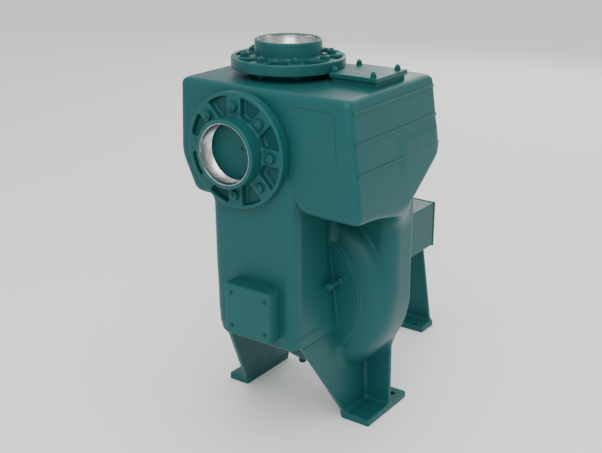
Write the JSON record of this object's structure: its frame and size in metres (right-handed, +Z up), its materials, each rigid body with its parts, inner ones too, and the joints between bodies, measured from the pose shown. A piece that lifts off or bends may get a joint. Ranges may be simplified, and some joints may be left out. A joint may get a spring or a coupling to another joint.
{
  "type": "self-priming centrifugal pump",
  "caption": "Self-priming centrifugal pump with a priming tank, threaded suction and discharge flanges, a volute on legs and a bearing housing behind it.",
  "frame": {"origin": "under the middle of the pump's outer box, on the floor", "axes": "+Z up, -Y towards the suction side, +Y towards the drive shaft, +X to the right seen from the suction side"},
  "size_m": [0.4588, 0.8166, 0.8242],
  "materials": {
    "priming_tank": "smooth semi-gloss teal enamel over cast iron",
    "tank_rib_upper": "smooth semi-gloss teal enamel over cast iron",
    "tank_rib_middle": "smooth semi-gloss teal enamel over cast iron",
    "tank_rib_lower": "smooth semi-gloss teal enamel over cast iron",
    "suction_column": "smooth semi-gloss teal enamel over cast iron",
    "clean_out_cover": "smooth semi-gloss teal enamel over cast iron",
    "suction_flange": "smooth semi-gloss teal enamel over cast iron",
    "check_valve_flap": "satin teal enamel",
    "discharge_neck": "smooth semi-gloss teal enamel over cast iron",
    "discharge_flange": "smooth semi-gloss teal enamel over cast iron",
    "fill_port_boss": "smooth semi-gloss teal enamel over cast iron",
    "fill_port_cover": "smooth semi-gloss teal enamel over cast iron",
    "volute_case": "smooth semi-gloss teal enamel over cast iron",
    "volute_front_disc": "smooth semi-gloss teal enamel over cast iron",
    "web_right": "smooth semi-gloss teal enamel over cast iron",
    "gusset_right": "smooth semi-gloss teal enamel over cast iron",
    "foot_right": "smooth semi-gloss teal enamel over cast iron",
    "web_left": "smooth semi-gloss teal enamel over cast iron",
    "gusset_left": "smooth semi-gloss teal enamel over cast iron",
    "foot_left": "smooth semi-gloss teal enamel over cast iron",
    "bearing_housing": "smooth semi-gloss teal enamel over cast iron",
    "bearing_end_plate": "smooth semi-gloss teal enamel over cast iron",
    "bearing_cap": "smooth semi-gloss teal enamel over cast iron",
    "casing_vent_plug": "satin dark teal enamel",
    "casing_drain_plug": "satin dark teal enamel",
    "rear_leg": "satin dark teal enamel",
    "rear_foot": "satin dark teal enamel",
    "suction_thread_ring": "bright machined pipe thread",
    "discharge_thread_ring": "bright machined pipe thread",
    "drive_shaft_end": "ground steel"
  },
  "bodies": {
    "root": {"priming_tank": "priming_tank", "tank_rib_upper": "tank_rib_upper", "tank_rib_middle": "tank_rib_middle", "tank_rib_lower": "tank_rib_lower", "suction_column": "suction_column", "clean_out_cover": "clean_out_cover", "suction_flange": "suction_flange", "check_valve_flap": "check_valve_flap", "discharge_neck": "discharge_neck", "discharge_flange": "discharge_flange", "fill_port_boss": "fill_port_boss", "fill_port_cover": "fill_port_cover", "volute_case": "volute_case", "volute_front_disc": "volute_front_disc", "web_right": "web_right", "gusset_right": "gusset_right", "foot_right": "foot_right", "web_left": "web_left", "gusset_left": "gusset_left", "foot_left": "foot_left", "bearing_housing": "bearing_housing", "bearing_end_plate": "bearing_end_plate", "bearing_cap": "bearing_cap", "casing_vent_plug": "casing_vent_plug", "casing_drain_plug": "casing_drain_plug", "rear_leg": "rear_leg", "rear_foot": "rear_foot", "suction_thread_ring": "suction_thread_ring", "discharge_thread_ring": "discharge_thread_ring", "drive_shaft_end": "drive_shaft_end"}
  },
  "joints": []
}
